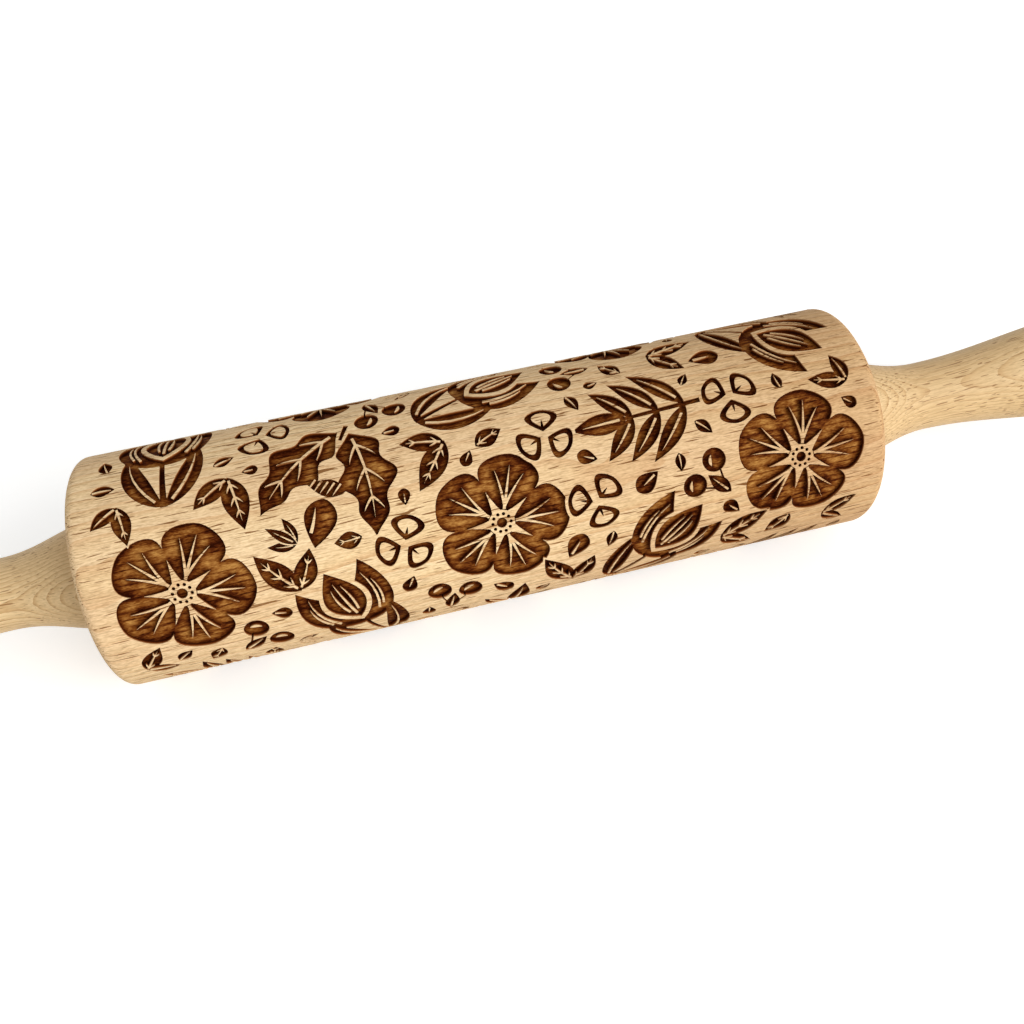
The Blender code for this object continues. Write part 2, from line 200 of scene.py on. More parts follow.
# a tulip: two outer petals, and the middle one inside a line of wood
TULIP = (
    veined("leaf", 0.00, -0.49, -52, 0.66, 0.17, 62, line=0.018, pairs=0, start=0.12, end=0.8)
    + veined("leaf", 0.00, -0.49, 52, 0.66, 0.17, -62, line=0.018, pairs=0, start=0.12, end=0.8)
    + [("cut", "stem", 0.00, -0.49, 0, 0.42, 0.05, 0)]
    + [("cut", "leaf", 0.00, -0.12, side * 46, 0.66, 0.30, -side * 46) for side in (-1, 1)]
    + [("keep", "vein", side * 0.16, 0.00, side * 30, 0.38, 0.018, -side * 44) for side in (-1, 1)]
    + [("keep", "vein", side * 0.21, 0.03, side * 28, 0.26, 0.016, -side * 38) for side in (-1, 1)]
    + [("keep", "leaf", 0.00, -0.05, 0, 0.58, 0.36, 0), ("cut", "leaf", 0.00, -0.01, 0, 0.51, 0.29, 0)]
    + [("keep", "vein", side * 0.035, 0.09, side * 14, 0.26, 0.016, -side * 26) for side in (-1, 1)]
    + [("keep", "vein", 0.00, 0.05, 0, 0.34, 0.018, 0)]
)
# two oak leaves with an acorn between them, its cup scored across
OAK = (
    veined("lobed", 0.04, -0.42, 40, 0.84, 0.44, -28, line=0.02, pairs=3)
    + veined("lobed", -0.04, -0.42, -40, 0.84, 0.44, 28, line=0.02, pairs=3)
    + [("cut", "stem", 0.00, -0.50, 0, 0.16, 0.04, 0), ("cut", "leaf", -0.14, 0.05, 90, 0.28, 0.13, 0)]
    + [("keep", "vein", -0.09 + 0.045 * k, 0.005, 22, 0.10, 0.012, 0) for k in range(5)]
    + [("cut", "petal", 0.00, 0.48, 180, 0.35, 0.23, 0), ("keep", "vein", 0.045, 0.38, 186, 0.18, 0.022, -14)]
)
# a blossom: five petals, each with veins from its root, round a ring of dots
BLOSSOM = (
    ring_of(
        count=5,
        root=0.07,
        rows=[("cut", "petal", 0, 0, 0, 0.43, 0.44, 0)]
        + [("keep", "vein", 0, 0.05, side * 17, 0.27, 0.018, side * 12) for side in (-1, 1)]
        + [("keep", "vein", 0, 0.03, 0, 0.32, 0.02, 0)],
    )
    + [("keep", "disc", 0, 0, 0, 0, 0.19, 0), ("cut", "disc", 0, 0, 0, 0, 0.075, 0)]
    + ring_of(count=10, root=0.066, rows=[("cut", "disc", 0, 0, 0, 0, 0.025, 0)])
)
# a fern: a leaf at the tip of its stem, and three pairs of leaflets, shorter towards the tip
FERN = [("cut", "stem", 0.00, -0.50, 0, 0.62, 0.04, 0)] + veined(
    "leaf", 0.00, 0.08, 0, 0.42, 0.17, 0, line=0.018, pairs=0, start=0.14, end=0.8
)
for side in (-1, 1):
    for k in range(3):
        leaflet = (0.00, -0.36 + 0.20 * k, side * 54, 0.50 - 0.06 * k, 0.145 - 0.005 * k, -side * 14)
        FERN += veined("leaf", *leaflet, line=0.018, pairs=0, start=0.16, end=0.8)
# the stem once more, over the feet of the veins
FERN += [("cut", "stem", 0.00, -0.50, 0, 0.56, 0.04, 0)]
# a spray: two leaves from one root, with fewer and wider veins where it is carved small at the ends
SPRAY = veined("leaf", 0.04, -0.46, -24, 0.98, 0.44, 10, line=0.04, pairs=3) + veined(
    "leaf", 0.02, -0.44, 52, 0.76, 0.38, -16, line=0.036, pairs=2
)
END_SPRAY = veined("leaf", 0.04, -0.46, -24, 0.98, 0.44, 10, line=0.05, pairs=2) + veined(
    "leaf", 0.02, -0.44, 52, 0.76, 0.38, -16, line=0.045, pairs=0
)
# clover: three open petals, each with a nick at its root
CLOVER = ring_of(
    count=3,
    root=0.07,
    rows=[
        ("cut", "petal", 0, 0, 0, 0.43, 0.56, 0),
        ("keep", "petal", 0, 0.09, 0, 0.27, 0.33, 0),
        ("cut", "vein", 0, 0.08, 0, 0.15, 0.05, 0),
    ],
)
# berries: two on their stalks over a leaf, each with a glint left standing
BERRIES = veined("leaf", 0.00, -0.50, 0, 0.55, 0.26, 0, line=0.035, pairs=0, start=0.15, end=0.8)
for side in (-1, 1):
    BERRIES += [
        ("cut", "disc", side * 0.27, 0.12, 0, 0, 0.42, 0),
        ("cut", "stem", 0.03 * side, -0.36, side * 26, 0.36, 0.045, side * 10),
        ("keep", "leaf", side * 0.27 - 0.11, 0.09, 24, 0.20, 0.05, 50),
    ]

# The rings stand from the barrel's left end to its right, each with one letter for a place round it.
# Each motif is turned on from the last by an angle that doesn't come round again.
LARGE_MOTIFS = {"T": TULIP, "O": OAK, "B": BLOSSOM, "F": FERN}
SMALL_MOTIFS = (SPRAY, BERRIES, CLOVER)
RINGS = ("TOBFB", "BTOTO", "TFBFB", "BTOTF", "TOBFB")
TURN_BETWEEN_MOTIFS = 137.5


def motif_layers(rows, size, at, turn):
    """One motif's blades, turned and laid down with its centre at a point of the unrolled skin: of each
    its action, its outline and the points inside it."""
    turned = Matrix.Rotation(turn, 2)
    made = []
    for action, form, along, around, heading, length, width, bend in rows:
        blade = (form, length * size, width * size, math.radians(heading), math.radians(bend))
        root = Vector((along, around)) * size
        outline, inner = blade_outline(*blade), floor_points(*blade) if action == "cut" else []
        moved = ([turned @ (root + point) + at for point in row] for row in (outline, inner))
        made.append((action, *moved))
    return made


def set_apart(rows, line):
    """The same motif with a line of wood left round each blade, to part it from what it runs into."""
    edges = []
    for action, form, along, around, heading, length, width, bend in rows:
        if action == "cut":
            turn = math.radians(heading)
            back = 0 if form == "disc" else line
            root = (along - back * math.sin(turn), around - back * math.cos(turn))
            edges.append(("keep", form, *root, heading, length + 2 * line, width + 2 * line, bend))
    return edges + rows


# Large motifs stand in rings, every other ring half a place round; small ones fill in between them,
# along the barrel from each place, and sprays of two leaves line both ends
PARTING_LINE = 0.05
layers, small_layers = [], []
pitch_wanted = LARGE_MOTIF + MOTIF_SPACING
first_ring = PLAIN_BAND + LARGE_MOTIF / 2 - HALF_BARREL
ring_gaps = int(-2 * first_ring / pitch_wanted)
ring_pitch = -2 * first_ring / ring_gaps
places = int(ROUND_THE_BARREL / pitch_wanted)
place_step = ROUND_THE_BARREL / places
# as far along from a place as makes a small motif stand equally far from the three large ones round it
small_reach = (ring_pitch**2 - (place_step / 2) ** 2) / (2 * ring_pitch)
for ring in range(ring_gaps + 1):
    ring_x = first_ring + ring * ring_pitch
    for place in range(places):
        around = (place + ring % 2 / 2) * place_step
        turn = math.radians(TURN_BETWEEN_MOTIFS) * (ring * places + place)
        layers += motif_layers(LARGE_MOTIFS[RINGS[ring][place]], LARGE_MOTIF, Vector((ring_x, around)), turn)
        for side in (-1, 1):
            outer = ring == (0 if side < 0 else ring_gaps)
            aside = END_MOTIF_INSET if outer else small_reach
            at = Vector((ring_x + side * aside, around + place_step / 2))
            if outer:
                small_layers += motif_layers(set_apart(END_SPRAY, PARTING_LINE), END_MOTIF, at, side * turn)
            else:
                small = SMALL_MOTIFS[(ring + 2 * place + side) % len(SMALL_MOTIFS)]
                small_layers += motif_layers(set_apart(small, PARTING_LINE), SMALL_MOTIF, at, -turn * side)
layers += small_layers

# Small sprouts, leaves and buds are carved wherever the repeat leaves room, the widest gap first
BUD = [("cut", "petal", 0, -0.46, 0, 0.92, 0.66, 0), ("keep", "vein", 0, -0.30, 0, 0.48, 0.07, 0)]
LITTLE_LEAF = veined("leaf", 0.05, -0.48, -8, 0.98, 0.62, 16, line=0.05, pairs=2)
PLAIN_LEAF = veined("leaf", 0.05, -0.48, -8, 0.98, 0.58, 16, line=0.07, pairs=0)
# a sprout: three leaves from one root, the middle one inside a line of wood
SPROUT = (
    [("cut", "leaf", 0, -0.46, side * 46, 0.80, 0.28, -side * 26) for side in (-1, 1)]
    + [("keep", "leaf", 0, -0.49, 0, 1.01, 0.36, 0), ("cut", "leaf", 0, -0.47, 0, 0.95, 0.28, 0)]
    + [("keep", "vein", side * 0.09, -0.38, side * 42, 0.46, 0.035, -side * 18) for side in (-1, 1)]
    + [("keep", "vein", 0, -0.34, 0, 0.58, 0.04, 0)]
)
GAP_FILLERS = (SPROUT, LITTLE_LEAF, BUD)
SMALL_FILLERS = (PLAIN_LEAF, BUD)
# half sizes of the fillers: the largest, the least that has side veins, and the least of all; then the
# bare wood left round each, and the step of the search
WIDEST_FILLER = 0.0060
LEAST_FINE_FILLER = 0.0031
LEAST_FILLER = 0.0021
GAP_MARGIN = 0.0011
GAP_STEP = 0.0015
carved_points = [point for action, outline, inner in layers for point in outline + inner]
carved_points = [Vector((p.x, p.y % ROUND_THE_BARREL)) for p in carved_points]
# three laps of the skin, so that the nearest carving is also found across its seam
carved_tree = KDTree(3 * len(carved_points))
for lap in (-ROUND_THE_BARREL, 0, ROUND_THE_BARREL):
    for point in carved_points:
        carved_tree.insert((point.x, point.y + lap, 0), 0)
carved_tree.balance()
room = []
for row in range(int(ROUND_THE_BARREL / GAP_STEP)):
    for column in range(int(2 * (HALF_BARREL - PLAIN_BAND) / GAP_STEP)):
        at = Vector((column * GAP_STEP + PLAIN_BAND - HALF_BARREL, row * GAP_STEP))
        to_band = HALF_BARREL - PLAIN_BAND + GAP_MARGIN - abs(at.x)
        room.append([min(carved_tree.find((at.x, at.y, 0))[2], to_band), at])
fillers = 0
while True:
    widest, at = max(room, key=lambda place: place[0])
    reach = min(widest - GAP_MARGIN, WIDEST_FILLER)
    if reach < LEAST_FILLER:
        break
    kinds = GAP_FILLERS if reach > LEAST_FINE_FILLER else SMALL_FILLERS
    filler = kinds[fillers % len(kinds)]
    layers += motif_layers(filler, 2 * reach, at, math.radians(TURN_BETWEEN_MOTIFS) * fillers)
    fillers += 1
    for place in room:
        off = (place[1].y - at.y + ROUND_THE_BARREL / 2) % ROUND_THE_BARREL - ROUND_THE_BARREL / 2
        place[0] = min(place[0], math.hypot(place[1].x - at.x, off) - reach)

# The skin is laid out flat, X along the barrel and Y round it, and cut along strips and outlines
points, strip_lines, outlines, is_cut = [], [], [], []
for k in range(SKIN_STRIPS + 1):
    height = ROUND_THE_BARREL * k / SKIN_STRIPS
    strip_lines.append((len(points), len(points) + 1))
    points += [Vector((-FLAT_HALF, height)), Vector((FLAT_HALF, height))]
strip_lines += [(0, len(points) - 2), (1, len(points) - 1)]
for action, outline, inner in layers:
    for lap in (-ROUND_THE_BARREL, 0, ROUND_THE_BARREL):
        moved = [point + Vector((0, lap)) for point in outline]
        if max(p.y for p in moved) > 0 and min(p.y for p in moved) < ROUND_THE_BARREL:
            outlines.append(list(range(len(points), len(points) + len(moved))))
            is_cut.append(action == "cut")
            points += moved
            inside = (point + Vector((0, lap)) for point in inner)
            points += [p for p in inside if 0 < p.y < ROUND_THE_BARREL]
# each face comes with the outlines that it lies in, and the last of them says whether it is a pocket
corners, _, faces, _, _, owners = delaunay_2d_cdt(points, strip_lines, outlines, 0, SNAP_DISTANCE, True)

barrel = bmesh.new()
from_wall = barrel.verts.layers.float.new("from_wall")
skin = []
for corner in corners:
    turn = corner.y / BARREL_RADIUS + PATTERN_START
    across, height = math.sin(turn) * BARREL_RADIUS, math.cos(turn) * BARREL_RADIUS
    skin.append(barrel.verts.new((corner.x, across, height)))
pockets = []
for face, owner in zip(faces, owners):
    middle = sum(corners[k].y for k in face) / len(face)
    if 0 < middle < ROUND_THE_BARREL:
        made = barrel.faces.new([skin[k] for k in face])
        if owner and is_cut[max(owner)]:
            pockets.append(made)
bmesh.ops.delete(barrel, geom=[v for v in barrel.verts if not v.link_faces], context="VERTS")
bmesh.ops.remove_doubles(barrel, verts=barrel.verts, dist=WELD_DISTANCE)
pockets = [face for face in pockets if face.is_valid]
bmesh.ops.recalc_face_normals(barrel, faces=barrel.faces)
sunk = bmesh.ops.extrude_face_region(barrel, geom=pockets)["geom"]
bmesh.ops.delete(barrel, geom=pockets, context="FACES")
floor_corners = {g for g in sunk if isinstance(g, bmesh.types.BMVert)}
depth_scale = (BARREL_RADIUS - POCKET_DEPTH) / BARREL_RADIUS
bmesh.ops.scale(barrel, vec=(1, depth_scale, depth_scale), verts=list(floor_corners))

# how far each corner of a floor is from the nearest pocket wall: the floor is painted darker near a wall,
# part char and part painted shade
walls = [
    [corner.co.copy() for corner in face.verts]
    for face in barrel.faces
    if 0 < sum(corner in floor_corners for corner in face.verts) < len(face.verts)
]
wall_points = [point for wall in walls for point in wall]
wall_faces, used = [], 0
for wall in walls:
    wall_faces.append(range(used, used + len(wall)))
    used += len(wall)
wall_tree = BVHTree.FromPolygons(wall_points, wall_faces)
for corner in floor_corners:
    corner[from_wall] = wall_tree.find_nearest(corner.co)[3]

# From each rim of the skin: the rounded edge, the flat end, and the stepped seat drilled for the bush
washer_low, washer_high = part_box("washer_right")
bush_low, bush_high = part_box("bush_right")
SEAT_GAP = washer_low.x - HALF_BARREL
FLANGE_THICKNESS = 0.002
BUSH_BODY_RADIUS = 0.008
AXLE_HOLE_RADIUS = 0.0055
recess_radius = bush_high.z + SEAT_GAP
recess_end = HALF_BARREL - FLANGE_THICKNESS - SEAT_GAP
seat_radius = BUSH_BODY_RADIUS + SEAT_GAP
seat_end = bush_low.x - SEAT_GAP
inner_rims = []
for side in (-1, 1):
    rim = [edge for edge in barrel.edges if edge.is_boundary and edge.verts[0].co.x * side > 0]
    steps = []
    for k in range(1, RIM_STEPS + 1):
        turn = math.pi / 2 * k / RIM_STEPS
        sunk_by = RIM_ROUNDING * (1 - math.cos(turn))
        steps.append((FLAT_HALF + RIM_ROUNDING * math.sin(turn), BARREL_RADIUS - sunk_by))
    steps += [(HALF_BARREL, recess_radius), (recess_end, recess_radius), (recess_end, seat_radius)]
    steps += [(seat_end, seat_radius), (seat_end, AXLE_HOLE_RADIUS)]
    for along, radius in steps:
        ring = bmesh.ops.extrude_edge_only(barrel, edges=rim)["geom"]
        rim = [g for g in ring if isinstance(g, bmesh.types.BMEdge)]
        for corner in {v for edge in rim for v in edge.verts}:
            corner.co.x = side * along
            corner.co.yz = corner.co.yz.normalized() * radius
    inner_rims += rim
bmesh.ops.bridge_loops(barrel, edges=inner_rims)
bmesh.ops.recalc_face_normals(barrel, faces=barrel.faces)


def finished(name, bm, sharp_degrees, body, slot, *nodes):
    """Makes a bmesh a piece that rides on a body and stands for the nodes it replaces. Its edges are
    sharp where the faces beside them turn by more than sharp_degrees."""
    mesh = bpy.data.meshes.new(name)
    bm.to_mesh(mesh)
    bm.free()
    mesh.shade_smooth()
    mesh.set_sharp_from_angle(angle=math.radians(sharp_degrees))
    piece = bpy.data.objects.new(name, mesh)
    bpy.context.collection.objects.link(piece)
    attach(piece, body)
    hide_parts(*nodes)
    return piece


BARREL_SHARP_DEGREES = 35
carved_barrel = finished("carved_barrel", barrel, BARREL_SHARP_DEGREES, "barrel", "barrel_wood", "barrel")


def linear(colour):
    """An sRGB hex colour as the linear red, green, blue and alpha that a shader takes."""
    values = [int(colour[k : k + 2], 16) / 255 for k in (1, 3, 5)]
    return (*(v / 12.92 if v <= 0.04045 else ((v + 0.055) / 1.055) ** 2.4 for v in values), 1)


def add_node(tree, kind, inputs, stops=(), **settings):
    """Adds a node with its settings, then gives each input its value or its link; returns the node."""
    node = tree.nodes.new("ShaderNode" + kind)
    for name, value in settings.items():
        setattr(node, name, value)
    for key, value in inputs.items():
        if isinstance(value, bpy.types.NodeSocket):
            tree.links.new(value, node.inputs[key])
        else:
            node.inputs[key].default_value = value
    for k, (at, colour) in enumerate(stops):
        ramp = node.color_ramp.elements
        stop = ramp[k] if k < 2 else ramp.new(at)
        stop.position = at
        stop.color = linear(colour)
    return node


MM = 0.001


def streaks_along_axle(tree, place, length, width, detail):
    """Streaks of this length along X, the axle's line, and this width across it: the grain of a turned
    piece of wood, or the tool lines on metal. More detail breaks each into finer ones."""
    stretch = (1 / length, 1 / width, 1 / width)
    drawn_out = add_node(tree, "VectorMath", {0: place, 1: stretch}, operation="MULTIPLY").outputs[0]
    return add_node(tree, "TexNoise", {"Vector": drawn_out, "Scale": 1.0, "Detail": detail}).outputs["Fac"]


def beech_wood(name, pith, grain_turn, ring_gap, colours, figure, roughness):
    """Beech, sawn, turned and sanded bare: pale pinkish tan, growth rings where the turning cuts through
    them, fine fibre streaks along the grain, and the short dark dashes of its rays and vessels.
    The rings stand ring_gap apart round a pith outside the piece; colours are those of a ring from its
    early wood to its edge, and of the darker patches. figure is the width of the noise that the dashes
    are cut from, and how strongly dashes, fine lines and flakes show. The dashes are about 0.1 mm wide on
    real beech and are drawn near 0.2 mm, so that they show. Returns the material, its shader, and what
    the burned pockets are mixed from."""
    early, middle, late, patch = colours
    dash_width, dash_share, fine_share, flake_share = figure
    material = bpy.data.materials.new(name)
    material.use_nodes = True
    tree = material.node_tree
    shader = tree.nodes["Principled BSDF"]
    place = add_node(tree, "TexCoord", {}).outputs["Object"]
    grain = add_node(tree, "Mapping", {"Vector": place, "Location": pith, "Rotation": grain_turn}).outputs[0]
    # at a scale of 1 the wave's rings stand 2 pi / 20 apart
    rings = add_node(
        tree,
        "TexWave",
        {
            "Vector": grain,
            "Scale": 2 * math.pi / (20 * ring_gap),
            "Distortion": 3.2,
            "Detail": 3.0,
            "Detail Scale": 0.35,
            "Detail Roughness": 0.55,
        },
        wave_type="RINGS",
        rings_direction="X",
        wave_profile="SAW",
    ).outputs["Fac"]
    # broad changes of tone, 70 mm long and 14 mm across
    patches = streaks_along_axle(tree, grain, 70 * MM, 14 * MM, 2.0)
    tone = add_node(
        tree, "MapRange", {"Value": patches, "From Min": 0.35, "From Max": 0.65, "To Max": 0.6}
    ).outputs[0]
    # fibres 16 mm long and 0.4 mm across
    fibres = streaks_along_axle(tree, grain, 16 * MM, 0.4 * MM, 3.0)
    # dashes 3 mm long, half as wide as the noise they are cut from, thicker sown in some patches
    sown = add_node(
        tree,
        "MapRange",
        {
            "Value": streaks_along_axle(tree, grain, 30 * MM, 9 * MM, 1.0),
            "From Min": 0.38,
            "From Max": 0.62,
            "To Min": -0.035,
            "To Max": 0.035,
        },
    ).outputs[0]
    dashes = streaks_along_axle(tree, grain, 6 * MM, dash_width, 0.0)
    dashes = add_node(tree, "Math", {0: dashes, 1: sown}, operation="ADD").outputs[0]
    dash = add_node(tree, "MapRange", {"Value": dashes, "From Min": 0.70, "From Max": 0.73}).outputs[0]
    # fine vessel lines, 1.5 mm long and a little over 0.1 mm wide, all over
    fine_lines = streaks_along_axle(tree, grain, 3 * MM, 0.24 * MM, 1.0)
    fine_line = add_node(
        tree, "MapRange", {"Value": fine_lines, "From Min": 0.5, "From Max": 0.72}
    ).outputs[0]
    # pale flakes where the rays are cut across, about 1 mm long
    flakes = streaks_along_axle(tree, grain, 1.1 * MM, 0.34 * MM, 1.0)

    ring_stops = ((0.0, early), (0.97, late), (0.72, middle))
    ring_wood = add_node(tree, "ValToRGB", {"Fac": rings}, stops=ring_stops).outputs[0]
    toned = add_node(tree, "Mix", {0: tone, 6: ring_wood, 7: linear(patch)}, data_type="RGBA").outputs[2]
    fibre_tint = add_node(
        tree, "ValToRGB", {"Fac": fibres}, stops=((0.30, "#C9BEAC"), (0.56, "#FFFFFF"))
    ).outputs[0]
    fibre_share = 0.4
    streaked = add_node(
        tree, "Mix", {0: fibre_share, 6: toned, 7: fibre_tint}, data_type="RGBA", blend_type="MULTIPLY"
    ).outputs[2]
    flake_tint = add_node(
        tree, "ValToRGB", {"Fac": flakes}, stops=((0.34, "#D3C7B6"), (0.60, "#FFFFFF"))
    ).outputs[0]
    streaked = add_node(
        tree, "Mix", {0: flake_share, 6: streaked, 7: flake_tint}, data_type="RGBA", blend_type="MULTIPLY"
    ).outputs[2]
    # dashes and fine lines are one dark brown, and together they are never darker than a dash
    faint = add_node(tree, "Math", {0: fine_line, 1: fine_share}, operation="MULTIPLY").outputs[0]
    dashed = add_node(tree, "Math", {0: dash, 1: dash_share, 2: faint}, operation="MULTIPLY_ADD").outputs[0]
    dashed = add_node(tree, "Math", {0: dashed, 1: dash_share}, operation="MINIMUM").outputs[0]
    wood = add_node(tree, "Mix", {0: dashed, 6: streaked, 7: linear("#76481B")}, data_type="RGBA").outputs[2]
    # to the touch the fibres stand up a little and the dashes are sunk
    height = add_node(tree, "Math", {0: fibres, 1: dash}, operation="SUBTRACT").outputs[0]
    shader.inputs["Roughness"].default_value = roughness
    shader.inputs["IOR"].default_value = 1.5
    # sanded and left bare, it has little shine
    shader.inputs["Specular IOR Level"].default_value = 0.12
    tree.links.new(wood, shader.inputs["Base Color"])
    bump = add_node(tree, "Bump", {"Height": height, "Distance": 0.03 * MM, "Strength": 0.4}).outputs[0]
    tree.links.new(bump, shader.inputs["Normal"])
    return material, shader, wood, place, grain, dash


BARREL_ROUGHNESS = 0.58
CHAR_ROUGHNESS = 0.8


def burned_and_shaded_into(material, shader, wood, place, grain, dash):
    """Laser engraving: a pocket's walls are tan at the rim and darker downwards, part scorch and part
    painted shade down in the pocket; its floor is dark beside the walls, part char and part painted shade,
    and toasted to caramel in the open, in soft blotches and a fine mottle along the grain, with the wood's
    own dashes dark in it."""
    tree = material.node_tree
    off_axis = add_node(tree, "VectorMath", {0: place, 1: (0, 1, 1)}, operation="MULTIPLY").outputs[0]
    radius = add_node(tree, "VectorMath", {0: off_axis}, operation="LENGTH").outputs["Value"]
    along = add_node(tree, "SeparateXYZ", {0: place}).outputs[0]
    along = add_node(tree, "Math", {0: along}, operation="ABSOLUTE").outputs[0]
    # the rounded ends lie below the skin too, but they are bare wood
    in_pattern = add_node(tree, "Math", {0: along, 1: FLAT_HALF - MM}, operation="LESS_THAN").outputs[0]

    def below_skin(first, last):
        """0 at the first depth under the skin, rising to 1 at the last."""
        depths = {"From Min": BARREL_RADIUS - first, "From Max": BARREL_RADIUS - last}
        return add_node(tree, "MapRange", {"Value": radius, **depths}).outputs[0]

    burned = add_node(
        tree, "Math", {0: below_skin(0.08 * MM, 0.25 * MM), 1: in_pattern}, operation="MULTIPLY"
    ).outputs[0]
    # the walls: tan at the rim and darker with depth, part scorch and part painted shade down in the pocket
    wall = add_node(
        tree,
        "ValToRGB",
        {"Fac": below_skin(0.1 * MM, 1.0 * MM)},
        stops=((0.0, "#C08A5A"), (1.0, "#300E01"), (0.30, "#8C4F20"), (0.6, "#522108")),
    ).outputs[0]
    blotches = add_node(
        tree, "TexNoise", {"Vector": place, "Scale": 1 / (5.5 * MM), "Detail": 2.0, "Roughness": 0.6}
    ).outputs["Fac"]
    mottle = streaks_along_axle(tree, grain, 0.9 * MM, 0.3 * MM, 3.0)
    # dark beside a wall, part char and part painted shade, and open 2.3 mm from it
    clear_of_char_and_shade = add_node(tree, "Attribute", {}, attribute_name="from_wall").outputs["Fac"]
    clear_of_char_and_shade = add_node(
        tree,
        "MapRange",
        {"Value": clear_of_char_and_shade, "From Min": 0.0, "From Max": 2.3 * MM, "To Min": -0.03, "To Max": 0.61},
    ).outputs[0]
    # what each pattern adds to the toast and painted shade; the dashes take some away
    toast_and_shade = clear_of_char_and_shade
    for pattern, share in ((blotches, 1.1), (mottle, 0.8), (dash, -0.12)):
        toast_and_shade = add_node(tree, "Math", {0: pattern, 1: share, 2: toast_and_shade}, operation="MULTIPLY_ADD").outputs[0]
    # the ramp reads 0 to 1, so the sum is halved
    toast_and_shade = add_node(tree, "Math", {0: toast_and_shade, 1: 0.5}, operation="MULTIPLY").outputs[0]
    # the ramp runs from char and painted shade at the walls to caramel in the open
    toasted_and_shaded = add_node(
        tree,
        "ValToRGB",
        {"Fac": toast_and_shade},
        stops=((0.40, "#2C0A00"), (0.82, "#B98645"), (0.49, "#4F2007"), (0.59, "#744014"), (0.70, "#98652F")),
    ).outputs[0]
    on_floor = below_skin(POCKET_DEPTH * 0.8, POCKET_DEPTH * 0.97)
    # a pocket's colour: scorch and char, with painted shade on its walls and at the edges of its floor
    burn_and_painted_shade = add_node(tree, "Mix", {0: on_floor, 6: wall, 7: toasted_and_shaded}, data_type="RGBA").outputs[2]
    colour = add_node(tree, "Mix", {0: burned, 6: wood, 7: burn_and_painted_shade}, data_type="RGBA").outputs[2]
    tree.links.new(colour, shader.inputs["Base Color"])
    rough = add_node(
        tree, "MapRange", {"Value": burned, "To Min": BARREL_ROUGHNESS, "To Max": CHAR_ROUGHNESS}
    ).outputs[0]
    tree.links.new(rough, shader.inputs["Roughness"])
    # charred wood has no shine, and the bare wood round it next to none
    shader.inputs["Specular IOR Level"].default_value = 0.03


# sawn well off the pith, so that the rings cross the barrel as long arcs
barrel_pith = (0.0, 0.062, -0.048)
barrel_lean = (0.0, math.radians(1.2), math.radians(0.8))
barrel_colours = ("#F4D8AC", "#EFD1A1", "#DFB888", "#E5C196")
barrel_figure = (0.38 * MM, 0.9, 0.38, 0.42)
material, shader, wood, place, grain, dash = beech_wood(
    "beech_barrel_laser_engraved", barrel_pith, barrel_lean, ring_gap=2.6 * MM,
    colours=barrel_colours, figure=barrel_figure, roughness=BARREL_ROUGHNESS,
)
# towards its right end the barrel's colour is made a little darker and pinker
barrel_tree = material.node_tree
to_the_right = add_node(barrel_tree, "SeparateXYZ", {0: place}).outputs[0]
to_the_right = add_node(
    barrel_tree, "MapRange", {"Value": to_the_right, "From Min": 5 * MM, "From Max": 90 * MM}
).outputs[0]
wood = add_node(
    barrel_tree,
    "Mix",
    {0: to_the_right, 6: wood, 7: linear("#E4D8CE")},
    data_type="RGBA",
    blend_type="MULTIPLY",
).outputs[2]
burned_and_shaded_into(material, shader, wood, place, grain, dash)
carved_barrel.data.materials.append(material)

# The bushes: flanged plain bearings moulded in natural nylon, pressed into both ends of the barrel.
# Only the rim of each flange shows, past the washer.
TURNING_STEPS = 64
FITTING_SHARP_DEGREES = 30


def turned(profile, steps):
    """Spins a closed or axis-to-axis profile of (along, radius) points about the axle's line."""
    bm = bmesh.new()
    ring = [bm.verts.new((along, 0, radius)) for along, radius in profile]
    edges = [bm.edges.new(pair) for pair in zip(ring, ring[1:])]
    if profile[0][1] > 0:
        edges.append(bm.edges.new((ring[-1], ring[0])))
    bmesh.ops.spin(
        bm, geom=ring + edges, axis=(1, 0, 0), cent=(0, 0, 0), angle=2 * math.pi, steps=steps, use_merge=True
    )
    bmesh.ops.remove_doubles(bm, verts=bm.verts, dist=WELD_DISTANCE)
    bmesh.ops.recalc_face_normals(bm, faces=bm.faces)
    return bm


def mirrored(bm, side):
    """The same turning for the other end: its points go to the left and its faces are turned out again."""
    if side < 0:
        bmesh.ops.scale(bm, vec=(-1, 1, 1), verts=bm.verts)
        bmesh.ops.recalc_face_normals(bm, faces=bm.faces)
    return bm


axle_low, axle_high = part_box("axle")
AXLE_RADIUS = axle_high.z
BUSH_CHAMFER = 0.0008
EDGE_BREAK = 0.00025
running_radius = AXLE_RADIUS + SEAT_GAP
flange_radius = bush_high.z
flange_back = bush_high.x - FLANGE_THICKNESS
bush_profile = (
    (bush_high.x, running_radius),
    (bush_high.x, flange_radius - EDGE_BREAK),
    (bush_high.x - EDGE_BREAK, flange_radius),
    (flange_back, flange_radius),
    (flange_back, BUSH_BODY_RADIUS),
    (bush_low.x + BUSH_CHAMFER, BUSH_BODY_RADIUS),
    (bush_low.x, BUSH_BODY_RADIUS - BUSH_CHAMFER),
    (bush_low.x, running_radius),
)
